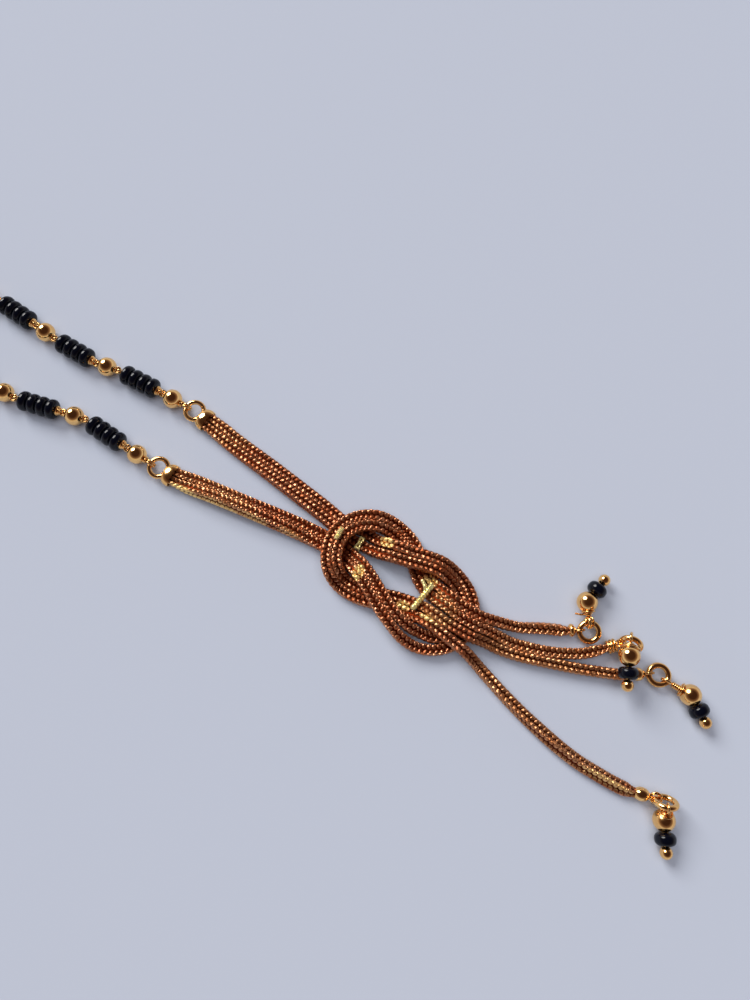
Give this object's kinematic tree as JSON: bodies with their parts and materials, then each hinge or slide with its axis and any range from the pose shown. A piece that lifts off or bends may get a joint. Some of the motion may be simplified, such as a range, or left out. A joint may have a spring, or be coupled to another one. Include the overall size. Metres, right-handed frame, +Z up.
{
  "type": "mangalsutra necklace",
  "caption": "Two bead strings and two mesh-chain straps worn round the neck, joined by a flat reef knot whose mesh tails end in ball-and-bead drops.",
  "frame": {"origin": "middle of the bounding box in X and Y, on the surface that the piece lies on", "axes": "+X from the neck loop to the tassel, +Y to the side of the string called upper, +Z up from the surface"},
  "size_m": [0.2411, 0.0993, 0.0046],
  "materials": {
    "mesh_chain": "gold-tone scaly mesh, deep copper brown in the hollows",
    "gold_metal": "polished gold tone",
    "black_glass": "glossy, opaque black"
  },
  "bodies": {
    "root": {"necklace_strand_outer": "mesh_chain", "necklace_strand_inner": "mesh_chain", "tassel_strand_outer": "mesh_chain", "tassel_strand_inner": "mesh_chain", "tie_left_outer": "gold_metal", "tie_left_inner": "gold_metal", "tie_right": "gold_metal", "strap_cap_upper": "gold_metal", "strap_cap_lower": "gold_metal", "ball_links_upper": "gold_metal", "ball_links_lower": "gold_metal", "bead_pins_upper": "gold_metal", "bead_pins_lower": "gold_metal", "s_hook": "gold_metal", "tail_cap_1": "gold_metal", "tail_cap_2": "gold_metal", "tail_cap_3": "gold_metal", "tail_cap_4": "gold_metal", "jump_ring_1": "gold_metal", "jump_ring_2": "gold_metal", "jump_ring_3": "gold_metal", "jump_ring_4": "gold_metal", "drop_pin_1": "gold_metal", "drop_pin_2": "gold_metal", "drop_pin_3": "gold_metal", "drop_pin_4": "gold_metal", "drop_ball_1": "gold_metal", "drop_ball_2": "gold_metal", "drop_ball_3": "gold_metal", "drop_ball_4": "gold_metal", "black_beads_upper": "black_glass", "black_beads_lower": "black_glass", "drop_bead_1": "black_glass", "drop_bead_2": "black_glass", "drop_bead_3": "black_glass", "drop_bead_4": "black_glass"}
  },
  "joints": []
}
